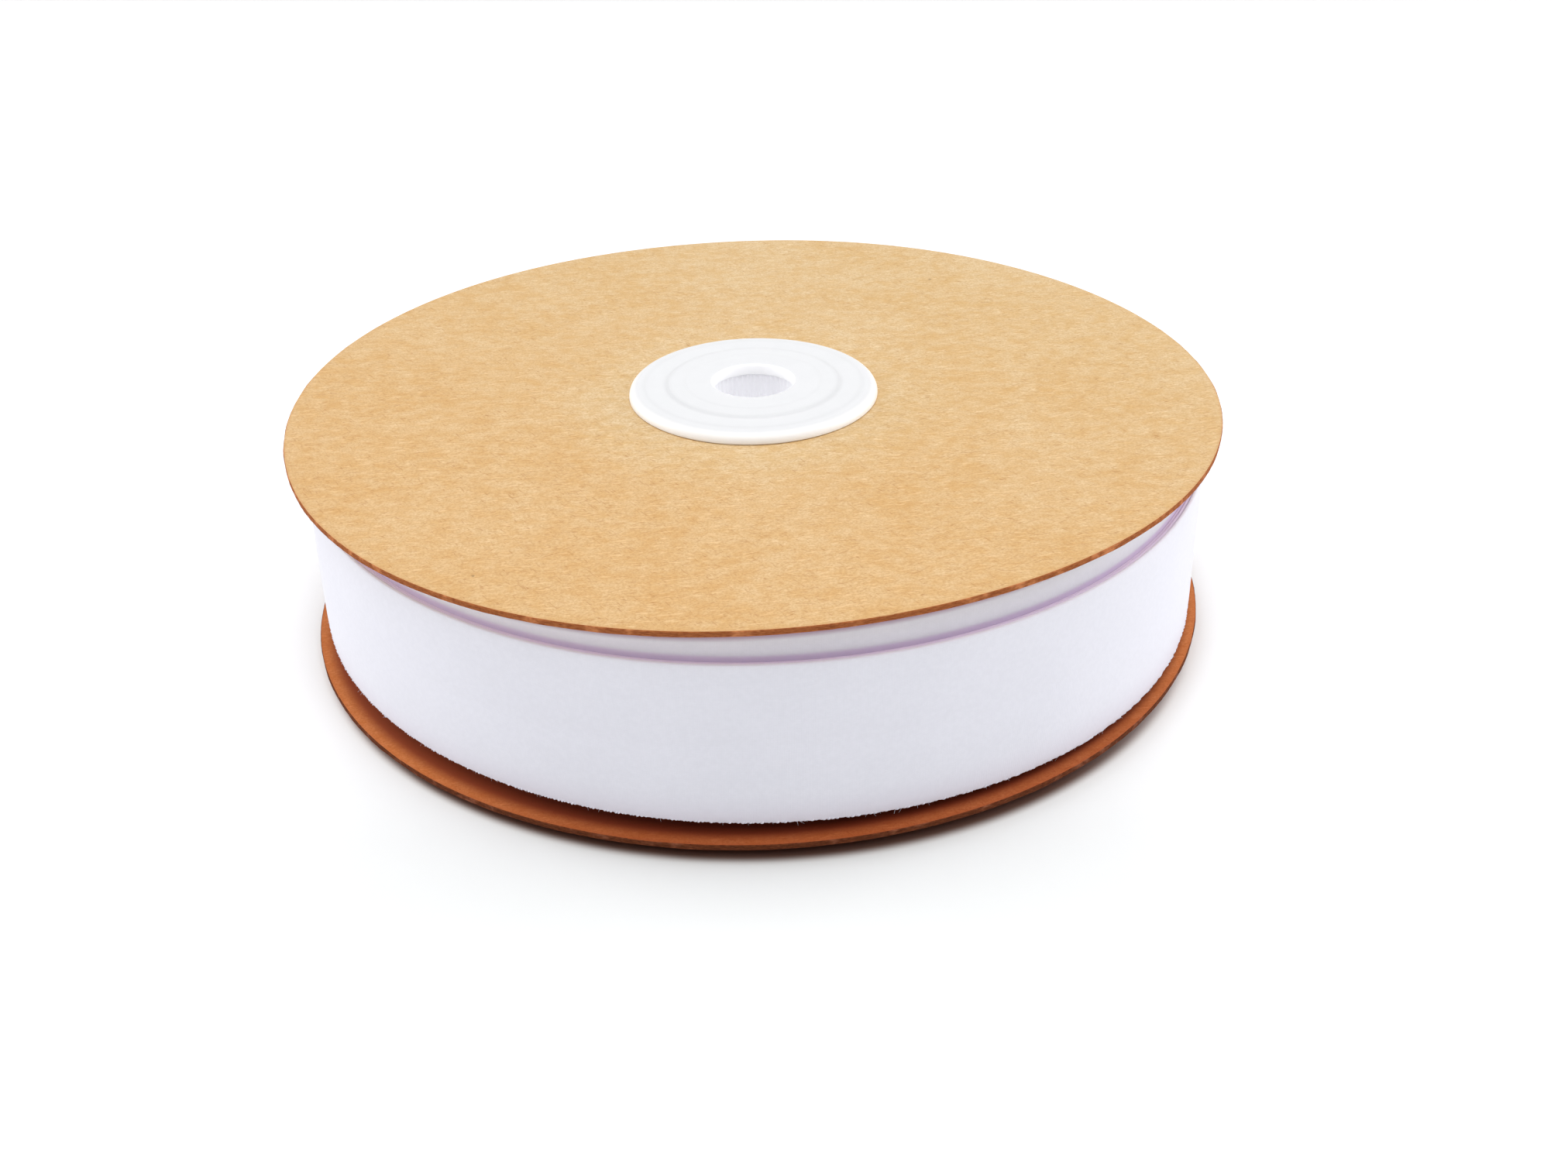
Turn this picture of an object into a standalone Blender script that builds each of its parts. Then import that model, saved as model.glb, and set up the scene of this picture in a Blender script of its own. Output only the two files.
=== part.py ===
"""A roll of bias tape: folded cloth tape wound on a moulded hub, between two round kraft cards.

The spool stands on the hub's lower lip, with its axis along +Z and the floor at Z = 0.
Every piece is turned round that axis. The cards and the winding are then bent a little.
"""

import math

import bpy

MM = 0.001

# The cards
CARD_RADIUS = 70.0 * MM
CARD_THICKNESS = 0.8 * MM
CARD_EDGE = 0.15 * MM
CARD_RINGS = 8

# A card is flat under the hub's lips, and bends from there to its rim.
# Each card's bend at the rim: an even lift, a tilt to +X, a tilt to +Y, a two-lobed and a three-lobed wave.
TOP_BEND = (1.00 * MM, 0.65 * MM, 0.13 * MM, -0.46 * MM, -0.27 * MM)
LOWER_BEND = (-0.70 * MM, 0.78 * MM, -0.29 * MM, 0.0, 0.0)

# The hub and its cap
BORE_RADIUS = 6.45 * MM
SLEEVE_RADIUS = 8.2 * MM
CORE_RADIUS = 15.0 * MM
LIP_RADIUS = 19.1 * MM
LOWER_LIP = 2.0 * MM
UPPER_LIP = 1.5 * MM
CAP_BORE_RADIUS = 6.25 * MM
CAP_BOSS_RADIUS = 13.0 * MM
CAP_BOSS = 0.25 * MM
CAP_BEVEL = 1.6 * MM
CAP_BEVEL_HEIGHT = 0.7 * MM
CAP_RECESS = 0.35 * MM
SKIRT_WALL = 2.0 * MM
SKIRT_DEPTH = 4.0 * MM
MOULD_EDGE = 0.4 * MM

# The tape: its width, and where the wound turns lie
TAPE_WIDTH = 25.0 * MM
WINDING_RADIUS = 68.3 * MM
LAST_TURNS = 1.4 * MM
LAST_TURNS_BASE = 4.95 * MM
TAPE_FOLD = 0.5 * MM
BASE_LEAN_X = -0.67 * MM
BASE_LEAN_Y = 0.24 * MM
FRONT_DIP = 1.30 * MM

# Pieces that touch keep this gap.
GAP = 0.3 * MM

# Heights, from the floor up
CARD_SPACE = 29.85 * MM
LOWER_CARD_Z = LOWER_LIP + GAP
TOP_CARD_Z = LOWER_CARD_Z + CARD_THICKNESS + CARD_SPACE
HUB_TOP_Z = TOP_CARD_Z + CARD_THICKNESS
CAP_Z = HUB_TOP_Z + GAP
CARD_HOLE_RADIUS = CORE_RADIUS + GAP

CARD_STEPS = 96
HUB_STEPS = 64
ARC_POINTS = 4


def clear_scene():
    """Remove what the file holds already."""
    for obj in list(bpy.data.objects):
        bpy.data.objects.remove(obj, do_unlink=True)


def make_material(name, color, roughness):
    material = bpy.data.materials.new(name)
    material.use_nodes = True
    shader = material.node_tree.nodes["Principled BSDF"]
    shader.inputs["Base Color"].default_value = (*color, 1.0)
    shader.inputs["Roughness"].default_value = roughness
    shader.inputs["Metallic"].default_value = 0.0
    return material


def corner(x, z, radius, start_deg, end_deg):
    """Points round a corner, on an arc about (x, z). Zero degrees points to +X, 90 to +Z."""
    points = []
    for step in range(ARC_POINTS + 1):
        angle = math.radians(start_deg + (end_deg - start_deg) * step / ARC_POINTS)
        points.append((x + radius * math.cos(angle), z + radius * math.sin(angle)))
    return points


def turned(name, profile, steps, material, collection):
    """Turn a closed profile about Z. It runs outward over the top and down the outer side."""
    count = len(profile)
    mesh = bpy.data.meshes.new(name)
    vertices = [(x, 0.0, z) for x, z in profile]
    edges = [(i, (i + 1) % count) for i in range(count)]
    mesh.from_pydata(vertices, edges, [])
    obj = bpy.data.objects.new(name, mesh)
    collection.objects.link(obj)

    screw = obj.modifiers.new("Turn", "SCREW")
    screw.axis = "Z"
    screw.steps = steps
    screw.render_steps = steps
    screw.use_merge_vertices = True
    screw.merge_threshold = 0.00001

    solid = bpy.data.meshes.new_from_object(obj.evaluated_get(bpy.context.evaluated_depsgraph_get()))
    obj.modifiers.clear()
    obj.data = solid
    bpy.data.meshes.remove(mesh)
    solid.name = name
    solid.materials.append(material)
    solid.shade_smooth()
    solid.set_sharp_from_angle(angle=math.radians(35))
    return obj


def card_lift(x, y, bend):
    """Height that a card's bend adds at (x, y)."""
    even, tilt_x, tilt_y, two_lobes, three_lobes = bend
    reach = max(0.0, (math.hypot(x, y) - LIP_RADIUS) / (CARD_RADIUS - LIP_RADIUS))
    angle = math.atan2(y, x)
    rim = even + tilt_x * math.cos(angle) + tilt_y * math.sin(angle)
    rim += two_lobes * math.sin(2.0 * angle) + three_lobes * math.cos(3.0 * angle)
    return rim * reach ** 2


def make_card(name, z, bend, material, collection):
    """A die-cut card: a flat ring with a softened rim, bent after it is turned."""
    top = z + CARD_THICKNESS
    outer = CARD_RADIUS - CARD_EDGE
    radii = [LIP_RADIUS + (outer - LIP_RADIUS) * ring / CARD_RINGS for ring in range(CARD_RINGS + 1)]
    profile = [(CARD_HOLE_RADIUS, top)]
    profile += [(radius, top) for radius in radii]
    profile += [(CARD_RADIUS, top - CARD_EDGE), (CARD_RADIUS, z + CARD_EDGE)]
    profile += [(radius, z) for radius in reversed(radii)]
    profile += [(CARD_HOLE_RADIUS, z)]

    card = turned(name, profile, CARD_STEPS, material, collection)
    for vertex in card.data.vertices:
        vertex.co.z += card_lift(vertex.co.x, vertex.co.y, bend)
    return card


def make_hub(material, collection):
    """The hub: lower lip, core and, inside it, the sleeve round the bore, with a pocket for the cap's skirt."""
    pocket_in = SLEEVE_RADIUS
    pocket_out = SLEEVE_RADIUS + SKIRT_WALL + 2.0 * GAP
    pocket_floor = CAP_Z - SKIRT_DEPTH - GAP
    sleeve_top = CAP_Z + CAP_RECESS - GAP
    edge = MOULD_EDGE

    profile = [(BORE_RADIUS, sleeve_top), (pocket_in, sleeve_top), (pocket_in, pocket_floor)]
    profile += [(pocket_out, pocket_floor), (pocket_out, HUB_TOP_Z)]
    profile += [(CORE_RADIUS - edge, HUB_TOP_Z), (CORE_RADIUS, HUB_TOP_Z - edge)]
    profile += [(CORE_RADIUS, LOWER_LIP)]
    profile += corner(LIP_RADIUS - edge, LOWER_LIP - edge, edge, 90, 0)
    profile += corner(LIP_RADIUS - 2.0 * edge, 2.0 * edge, 2.0 * edge, 0, -90)
    profile += [(BORE_RADIUS + edge, 0.0), (BORE_RADIUS, edge)]
    return turned("hub", profile, HUB_STEPS, material, collection)


def make_cap(material, collection):
    """The upper lip: a low round cap with a raised middle, a bevelled rim and a skirt that enters the hub."""
    skirt_in = SLEEVE_RADIUS + GAP
    skirt_out = skirt_in + SKIRT_WALL
    skirt_foot = CAP_Z - SKIRT_DEPTH
    recess_roof = CAP_Z + CAP_RECESS
    shoulder = CAP_Z + UPPER_LIP
    crown = shoulder + CAP_BOSS
    edge = MOULD_EDGE

    profile = [(CAP_BORE_RADIUS, crown - edge), (CAP_BORE_RADIUS + edge, crown)]
    profile += [(CAP_BOSS_RADIUS - edge, crown), (CAP_BOSS_RADIUS, shoulder)]
    for x, z in corner(0.0, 0.0, 1.0, 90, 0):
        profile.append((LIP_RADIUS - CAP_BEVEL * (1.0 - x), shoulder - CAP_BEVEL_HEIGHT * (1.0 - z)))
    profile += [(LIP_RADIUS, CAP_Z + 0.1 * MM), (LIP_RADIUS - 0.1 * MM, CAP_Z)]
    profile += [(skirt_out, CAP_Z), (skirt_out, skirt_foot), (skirt_in, skirt_foot)]
    profile += [(skirt_in, recess_roof), (CAP_BORE_RADIUS, recess_roof)]
    return turned("hub_cap", profile, HUB_STEPS, material, collection)


def make_winding(material, collection):
    """The wound tape. The inner turns stand high, close under the top card, and the last turns lie lower."""
    inner_radius = CORE_RADIUS + GAP
    step_radius = WINDING_RADIUS - LAST_TURNS
    inner_top = TOP_CARD_Z - 2.0 * GAP
    inner_base = inner_top - TAPE_WIDTH
    last_top = LAST_TURNS_BASE + TAPE_WIDTH
    fold = TAPE_FOLD

    profile = [(inner_radius, inner_top)]
    profile += [(LIP_RADIUS + (step_radius - LIP_RADIUS) * ring / 4, inner_top) for ring in range(4)]
    profile += corner(step_radius - fold, inner_top - fold, fold, 90, 0)
    profile += [(step_radius, last_top)]
    profile += corner(WINDING_RADIUS - fold, last_top - fold, fold, 90, 0)
    profile += corner(WINDING_RADIUS - fold, LAST_TURNS_BASE + fold, fold, 0, -90)
    profile += [(step_radius, LAST_TURNS_BASE), (step_radius, inner_base), (inner_radius, inner_base)]

    winding = turned("tape_winding", profile, CARD_STEPS, material, collection)
    for vertex in winding.data.vertices:
        x, y, z = vertex.co
        if z > last_top + GAP:
            # The inner turns are pressed against the top card, and take its bend.
            vertex.co.z += card_lift(x, y, TOP_BEND)
        elif z < LAST_TURNS_BASE + 0.5 * TAPE_WIDTH:
            vertex.co.z += (BASE_LEAN_X * x + BASE_LEAN_Y * y) / WINDING_RADIUS
        else:
            vertex.co.z += FRONT_DIP * min(0.0, y) / WINDING_RADIUS
    return winding


def main():
    clear_scene()
    collection = bpy.data.collections.new("roll_of_bias_tape")
    bpy.context.scene.collection.children.link(collection)

    kraft = make_material("kraft_card", (0.78, 0.52, 0.25), 0.85)
    kraft_below = make_material("kraft_card_lower", (0.78, 0.52, 0.25), 0.85)
    plastic = make_material("hub_plastic", (0.90, 0.90, 0.91), 0.35)
    cap_plastic = make_material("cap_plastic", (0.90, 0.90, 0.91), 0.35)
    cloth = make_material("bias_tape", (0.88, 0.87, 0.90), 0.95)

    make_card("top_card", TOP_CARD_Z, TOP_BEND, kraft, collection)
    make_card("lower_card", LOWER_CARD_Z, LOWER_BEND, kraft_below, collection)
    make_hub(plastic, collection)
    make_cap(cap_plastic, collection)
    make_winding(cloth, collection)


main()
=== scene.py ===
# %% [markdown]
# # A roll of bias tape, seen close
# Folded white cloth is wound on a plastic hub, between two round kraft cards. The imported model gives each
# piece's place and size. This lesson dresses it: finer cards, the hub's ribs and rings, the tape itself as
# one long folded strip, and a finish for every surface.

import math

import bpy
import numpy as np
from mathutils import Matrix, Vector


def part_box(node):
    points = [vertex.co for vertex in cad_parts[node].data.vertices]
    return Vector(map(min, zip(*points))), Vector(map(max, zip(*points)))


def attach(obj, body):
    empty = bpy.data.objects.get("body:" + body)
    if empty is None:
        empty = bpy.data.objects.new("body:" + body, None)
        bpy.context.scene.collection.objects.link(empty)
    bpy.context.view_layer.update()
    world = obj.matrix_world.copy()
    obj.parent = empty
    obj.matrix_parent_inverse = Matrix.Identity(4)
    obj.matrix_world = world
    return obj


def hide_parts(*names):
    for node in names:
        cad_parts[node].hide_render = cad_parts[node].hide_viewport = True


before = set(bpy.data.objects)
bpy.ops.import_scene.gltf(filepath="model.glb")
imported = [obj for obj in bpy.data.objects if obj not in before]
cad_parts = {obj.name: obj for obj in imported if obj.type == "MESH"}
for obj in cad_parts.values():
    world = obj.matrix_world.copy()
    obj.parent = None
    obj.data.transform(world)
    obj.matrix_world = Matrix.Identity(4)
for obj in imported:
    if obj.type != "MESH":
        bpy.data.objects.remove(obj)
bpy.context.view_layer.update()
MM = 0.001

# %% [markdown]
# ## Sizes
# The frame gives the outer sizes, and a few values are the same as in the part's source: the bend of each
# card, and where the last turns of tape lie. A card is flat under the hub's lips. From there to the rim it
# bends, with a lift, two tilts and two slow waves, and the turns that press on it take the same bend.

# %% Sizes, from the frame and the part
CARD_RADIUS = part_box("top_card")[1].x
CARD_THICKNESS = 0.8 * MM
LIP_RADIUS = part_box("hub")[1].x
CAP_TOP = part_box("hub_cap")[1].z
CORE_RADIUS = 15.0 * MM
GAP = 0.3 * MM
LOWER_CARD_Z = 2.3 * MM
TOP_CARD_Z = 32.95 * MM

# Lift, tilt to +X, tilt to +Y, two-lobed wave, three-lobed wave, all at the rim
TOP_BEND = (1.00 * MM, 0.65 * MM, 0.13 * MM, -0.46 * MM, -0.27 * MM)
LOWER_BEND = (-0.70 * MM, 0.78 * MM, -0.29 * MM, 0.0, 0.0)


def card_lift(x, y, bend):
    """Height that a card's bend adds at (x, y)."""
    even, tilt_x, tilt_y, two_lobes, three_lobes = bend
    reach = np.maximum(0.0, (np.hypot(x, y) - LIP_RADIUS) / (CARD_RADIUS - LIP_RADIUS))
    angle = np.arctan2(y, x)
    rim = even + tilt_x * np.cos(angle) + tilt_y * np.sin(angle)
    rim = rim + two_lobes * np.sin(2.0 * angle) + three_lobes * np.cos(3.0 * angle)
    return rim * reach ** 2


print("card radius", round(CARD_RADIUS / MM, 2), "mm, lip radius", round(LIP_RADIUS / MM, 2), "mm")

# %% [markdown]
# ## The camera
# The photograph was taken from close by, so the near rim looks much wider than the far one. The lens and
# the distance were found by fitting the outlines of both cards and of the winding. The camera comes
# first, so that every later piece can be looked at through it.

# %% Camera
PHOTO_WIDTH_PX = 2024
PHOTO_HEIGHT_PX = 1503
SENSOR_WIDTH = 36.0
LENS = 35.5
LOOK_DOWN = math.radians(30.61)
CAMERA_ROLL = math.radians(0.96)
CAMERA_DISTANCE = 238.0 * MM
RIM_PLANE_Z = 34.75 * MM
CARD_CENTRE_PX = (972.5, 498.5)


def make_camera():
    """A camera that sees the top card's centre at its pixel, at the fitted distance along the view."""
    data = bpy.data.cameras.new("photo_camera")
    data.lens = LENS
    data.sensor_width = SENSOR_WIDTH
    data.sensor_fit = "HORIZONTAL"
    data.clip_start = 0.01
    data.clip_end = 20.0
    camera = bpy.data.objects.new("photo_camera", data)
    bpy.context.scene.collection.objects.link(camera)

    forward = Vector((0.0, math.cos(LOOK_DOWN), -math.sin(LOOK_DOWN)))
    level_up = Vector((0.0, math.sin(LOOK_DOWN), math.cos(LOOK_DOWN)))
    right = math.cos(CAMERA_ROLL) * Vector((1.0, 0.0, 0.0)) - math.sin(CAMERA_ROLL) * level_up
    up = math.sin(CAMERA_ROLL) * Vector((1.0, 0.0, 0.0)) + math.cos(CAMERA_ROLL) * level_up

    focal_px = LENS / SENSOR_WIDTH * PHOTO_WIDTH_PX
    across = (CARD_CENTRE_PX[0] - PHOTO_WIDTH_PX / 2) / focal_px * CAMERA_DISTANCE
    above = (PHOTO_HEIGHT_PX / 2 - CARD_CENTRE_PX[1]) / focal_px * CAMERA_DISTANCE
    target = Vector((0.0, 0.0, RIM_PLANE_Z))
    place = target - across * right - above * up - CAMERA_DISTANCE * forward
    turn = Matrix((right, up, -forward)).transposed()
    camera.matrix_world = Matrix.Translation(place) @ turn.to_4x4()
    bpy.context.scene.camera = camera
    return camera


camera = make_camera()
print("camera at", [round(v, 4) for v in camera.matrix_world.translation])

# %% [markdown]
# ## Mesh helpers
# Every piece here is a skin over rings of points: a turned card, a moulded hub, or a strip that winds
# round and round. One helper makes the skin from an array of rings. Small, smooth unevenness comes from a
# few sine waves with seeded phases, so that the result is the same each time.

# %% Skins over rings
def skin(name, rings, closed):
    """A mesh over rings of points, as an array of (ring, point, xyz). Closed joins the last ring to the
    first, and otherwise the two ends are capped."""
    ring_count, point_count = rings.shape[:2]
    index = np.arange(ring_count * point_count).reshape(ring_count, point_count)
    here = index if closed else index[:-1]
    ahead = np.roll(index, -1, axis=0) if closed else index[1:]
    faces = np.stack([here, np.roll(here, -1, axis=1), np.roll(ahead, -1, axis=1), ahead], axis=-1)
    faces = faces.reshape(-1, 4).tolist()
    if not closed:
        faces += [index[0][::-1].tolist(), index[-1].tolist()]
    mesh = bpy.data.meshes.new(name)
    mesh.from_pydata(rings.reshape(-1, 3).tolist(), [], faces)
    piece = bpy.data.objects.new(name, mesh)
    bpy.context.scene.collection.objects.link(piece)
    return piece


def soften(piece, sharp_deg=35.0):
    """Smooth shading, with an edge where faces meet at more than an angle."""
    piece.data.shade_smooth()
    piece.data.set_sharp_from_angle(angle=math.radians(sharp_deg))


def uneven(angle, lobes, seed):
    """A smooth wave round a circle, between about -1 and 1."""
    draw = np.random.default_rng(seed)
    total = np.zeros_like(np.asarray(angle, float))
    for count in range(lobes[0], lobes[1] + 1):
        total = total + draw.normal() * np.sin(count * angle + draw.uniform(0.0, 2.0 * math.pi))
    return total / math.sqrt(lobes[1] - lobes[0] + 1)


def turned(name, profile, steps, shape=None):
    """Turn a closed profile of (radius, z) about Z. It runs outward over the top and down the outer side.
    shape(radius, z, angle) may move the points."""
    angle = np.linspace(0.0, 2.0 * math.pi, steps, endpoint=False)[:, None]
    radius = np.array([point[0] for point in profile])[None, :] + 0.0 * angle
    z = np.array([point[1] for point in profile])[None, :] + 0.0 * angle
    if shape:
        radius, z = shape(radius, z, angle)
    rings = np.stack([radius * np.cos(angle), radius * np.sin(angle), z], axis=-1)
    return skin(name, rings, closed=True)


def arc(x, z, width, height, start_deg, end_deg, points=5):
    """Points on part of an ellipse about (x, z). Zero degrees points outward, 90 up."""
    angles = np.radians(np.linspace(start_deg, end_deg, points))
    return [(x + width * math.cos(a), z + height * math.sin(a)) for a in angles]


# %% [markdown]
# ## The cards
# Each card is punched from stiff kraft board of a few plies. The die leaves a softened upper edge and a
# fine, slightly rough wall in which the plies show as shallow lines. A thin cylinder would show none of
# this, so the rim gets its own profile, with a little unevenness round the card.

# %% Cards
CARD_STEPS = 540
CARD_RINGS = 20
PLY_GROOVE = 0.03 * MM
EDGE_ROUND = 0.16 * MM


def card_profile(z):
    """The closed section of a card, from its hole outward over the top and back along the underside."""
    top = z + CARD_THICKNESS
    hole = CORE_RADIUS + GAP
    flat_radii = np.linspace(hole, CARD_RADIUS - EDGE_ROUND, CARD_RINGS)
    profile = [(radius, top) for radius in flat_radii[:-1]]
    profile += arc(CARD_RADIUS - EDGE_ROUND, top - EDGE_ROUND, EDGE_ROUND, EDGE_ROUND, 90, 0)
    for ply in (0.38, 0.68):
        joint = top - ply * CARD_THICKNESS
        profile += [(CARD_RADIUS, joint + 0.05 * MM), (CARD_RADIUS - PLY_GROOVE, joint)]
        profile += [(CARD_RADIUS, joint - 0.05 * MM)]
    profile += [(CARD_RADIUS, z + 0.06 * MM), (CARD_RADIUS - 0.06 * MM, z)]
    profile += [(radius, z) for radius in flat_radii[-2::-1]]
    return profile


def make_card(name, node, z, bend, seed):
    """A bent kraft card with a punched rim."""
    def shape(radius, height, angle):
        height = height + card_lift(radius * np.cos(angle), radius * np.sin(angle), bend)
        draw = np.random.default_rng(seed)
        rough = draw.normal(0.0, 0.012 * MM, radius.shape)
        at_rim = radius > CARD_RADIUS - 0.5 * EDGE_ROUND
        ripple = 0.02 * MM * uneven(angle, (9, 60), seed)
        radius = np.where(at_rim, radius + rough + ripple, radius)
        slow = 0.04 * MM * uneven(angle, (4, 9), seed + 1)
        return radius, height + slow * (radius / CARD_RADIUS) ** 2

    card = turned(name, card_profile(z), CARD_STEPS, shape)
    soften(card)
    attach(card, "root")
    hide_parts(node)
    return card


top_card = make_card("kraft_card_top", "top_card", TOP_CARD_Z, TOP_BEND, seed=11)
lower_card = make_card("kraft_card_below", "lower_card", LOWER_CARD_Z, LOWER_BEND, seed=23)
print("cards:", len(top_card.data.polygons), "and", len(lower_card.data.polygons), "faces")

# %% [markdown]
# ## The hub
# The hub is one moulding: a lower lip, a core for the tape, and a sleeve round the bore. Inside the bore
# fine upright ribs grip a spindle, and they show through the cap. They are real shape here, cut into the
# bore's wall with a wave round the circle, because a bump would vanish at the rim of the bore.

# %% Hub
BORE_RADIUS = 6.45 * MM
SLEEVE_RADIUS = 8.2 * MM
LOWER_LIP = 2.0 * MM
SKIRT_WALL = 2.0 * MM
SKIRT_DEPTH = 4.0 * MM
CAP_RECESS = 0.35 * MM
MOULD_EDGE = 0.4 * MM
HUB_TOP_Z = TOP_CARD_Z + CARD_THICKNESS
CAP_Z = HUB_TOP_Z + GAP
BORE_RIBS = 44
RIB_TOP_Z = HUB_TOP_Z + 0.22 * MM
RIB_DEPTH = 0.16 * MM
HUB_STEPS = BORE_RIBS * 10


def hub_profile():
    """The closed section of the hub, from the bore's rim outward, down and back along the underside."""
    sleeve_top = CAP_Z + CAP_RECESS - GAP
    pocket_out = SLEEVE_RADIUS + SKIRT_WALL + 2.0 * GAP
    pocket_floor = CAP_Z - SKIRT_DEPTH - GAP
    small = 0.12 * MM
    lead_in = 0.06 * MM
    profile = [(BORE_RADIUS, RIB_TOP_Z), (BORE_RADIUS, RIB_TOP_Z + 0.5 * lead_in)]
    profile += [(BORE_RADIUS, sleeve_top - lead_in), (BORE_RADIUS + lead_in, sleeve_top)]
    profile += [(SLEEVE_RADIUS - small, sleeve_top), (SLEEVE_RADIUS, sleeve_top - small)]
    profile += [(SLEEVE_RADIUS, pocket_floor), (pocket_out, pocket_floor), (pocket_out, HUB_TOP_Z)]
    profile += [(CORE_RADIUS - small, HUB_TOP_Z), (CORE_RADIUS, HUB_TOP_Z - small), (CORE_RADIUS, LOWER_LIP)]
    edge = MOULD_EDGE
    profile += arc(LIP_RADIUS - edge, LOWER_LIP - edge, edge, edge, 90, 0)
    profile += arc(LIP_RADIUS - 2.0 * edge, 2.0 * edge, 2.0 * edge, 2.0 * edge, 0, -90, points=7)
    profile += [(13.0 * MM, 0.0), (12.8 * MM, 0.15 * MM), (10.0 * MM, 0.15 * MM), (9.8 * MM, 0.0)]
    profile += [(BORE_RADIUS + edge, 0.0), (BORE_RADIUS + 0.1 * MM, 0.5 * edge), (BORE_RADIUS, edge)]
    return profile


def bore_ribs(radius, z, angle):
    """Ribs on the bore's wall: it comes inward between narrow grooves. They end below the cap."""
    wave = (0.5 + 0.5 * np.cos(BORE_RIBS * angle)) ** 2
    on_wall = (radius < BORE_RADIUS + 0.05 * MM) & (z < RIB_TOP_Z + 0.01 * MM) & (z > 0.3 * MM)
    return np.where(on_wall, radius - RIB_DEPTH * wave, radius), z


hub = turned("ribbed_hub", hub_profile(), HUB_STEPS, bore_ribs)
soften(hub)
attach(hub, "root")
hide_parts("hub")
print("hub:", len(hub.data.polygons), "faces,", BORE_RIBS, "ribs in the bore")

# %% [markdown]
# ## The cap
# The cap is the white lip that shows on top. It has a rounded rim, a shallow step, a low raised ring and a
# rounded edge at the bore, all of which catch the light as faint circles. Each is a few points in the
# turned profile, with soft steps of a tenth of a millimetre, as worn mould tools leave them. A thin
# spigot reaches down inside the hub's sleeve, so that no dark gap shows in the bore.

# %% Cap
CAP_BORE_RADIUS = 6.25 * MM
UPPER_LIP = 1.5 * MM
CAP_BOSS = 0.25 * MM
CAP_BEVEL = 1.6 * MM
CAP_STEPS = 256
BORE_EDGE = (0.40 * MM, 0.32 * MM)
SPIGOT_RADIUS = 6.40 * MM
SPIGOT_Z = HUB_TOP_Z + 0.31 * MM


def soft_step(radius, width, z_in, z_out, points=5):
    """A smooth step in height from z_in, inside the radius, to z_out, outside it."""
    share = np.linspace(0.0, 1.0, points)
    blend = share * share * (3.0 - 2.0 * share)
    return [(radius + width * (s - 0.5), z_in + (z_out - z_in) * b) for s, b in zip(share, blend)]


def cap_profile():
    """The closed section of the cap, from its bore over the crown to the rim, and back along the skirt."""
    shoulder = CAP_Z + UPPER_LIP
    crown = shoulder + CAP_BOSS
    skirt_in = SLEEVE_RADIUS + GAP
    skirt_out = skirt_in + SKIRT_WALL
    foot = CAP_Z - 0.24 * MM
    wide, tall = BORE_EDGE
    profile = [(CAP_BORE_RADIUS, CAP_Z + CAP_RECESS), (CAP_BORE_RADIUS, crown - 2.0 * tall)]
    profile += arc(CAP_BORE_RADIUS + wide, crown - tall, wide, tall, 180, 90, points=9)
    profile += soft_step(10.4 * MM, 0.6 * MM, crown, crown - 0.06 * MM)
    profile += soft_step(13.2 * MM, 0.6 * MM, crown - 0.06 * MM, shoulder - 0.02 * MM)
    profile += soft_step(14.2 * MM, 0.8 * MM, shoulder - 0.02 * MM, shoulder + 0.02 * MM)
    profile += soft_step(16.7 * MM, 0.4 * MM, shoulder + 0.02 * MM, shoulder - 0.04 * MM)
    rim_top = shoulder - 0.05 * MM
    fall = rim_top - foot - 0.2 * MM
    profile += arc(LIP_RADIUS - CAP_BEVEL, rim_top - fall, CAP_BEVEL, fall, 90, 0, points=13)
    profile += [(LIP_RADIUS, foot + 0.12 * MM), (LIP_RADIUS - 0.12 * MM, foot), (LIP_RADIUS - 0.9 * MM, foot)]
    profile += [(LIP_RADIUS - 1.1 * MM, CAP_Z), (skirt_out, CAP_Z), (skirt_out, CAP_Z - SKIRT_DEPTH)]
    profile += [(skirt_in, CAP_Z - SKIRT_DEPTH), (skirt_in, CAP_Z + CAP_RECESS)]
    profile += [(SPIGOT_RADIUS, CAP_Z + CAP_RECESS), (SPIGOT_RADIUS, SPIGOT_Z), (CAP_BORE_RADIUS, SPIGOT_Z)]
    return profile


cap = turned("moulded_cap", cap_profile(), CAP_STEPS)
soften(cap, sharp_deg=50.0)
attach(cap, "root")
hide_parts("hub_cap")
print("cap:", len(cap.data.polygons), "faces, top at", round(CAP_TOP / MM, 2), "mm")

# %% [markdown]
# ## The tape
# Bias tape is a strip of cloth, cut at 45 degrees to the weave, with both raw edges folded to the middle of
# its back. Here the section is that folded strip, with its cloth thickness, and it is carried along a
# spiral from the hub outward. The inner turns stand high against the top card. The last three turns lie
# lower, which leaves the soft dark line that shows under the card. All other ways of showing turns, such
# as grooves in a solid, lose the folded edges.

# %% The tape's path
TAPE_WIDTH = 25.0 * MM
TURN_PITCH = 0.5 * MM
CLOTH = 0.2 * MM
FOLD_HALF = 0.22 * MM
OUTER_RADIUS = 68.56 * MM
FIRST_RADIUS = CORE_RADIUS + GAP + 0.3 * MM
TURNS = (OUTER_RADIUS - FOLD_HALF - FIRST_RADIUS) / TURN_PITCH
END_ANGLE = math.radians(100.0)
LAST_TURNS = 3.0
DROP_TURNS = 0.3

LAST_BASE = 4.95 * MM
BASE_LEAN_X = -0.67 * MM
BASE_LEAN_Y = 0.24 * MM
FRONT_DIP = 1.30 * MM
HIGH_TOP = TOP_CARD_Z - 0.45 * MM
HIGH_TOP_SPREAD = 0.45 * MM
STEP_DOWN = 0.22 * MM


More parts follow.
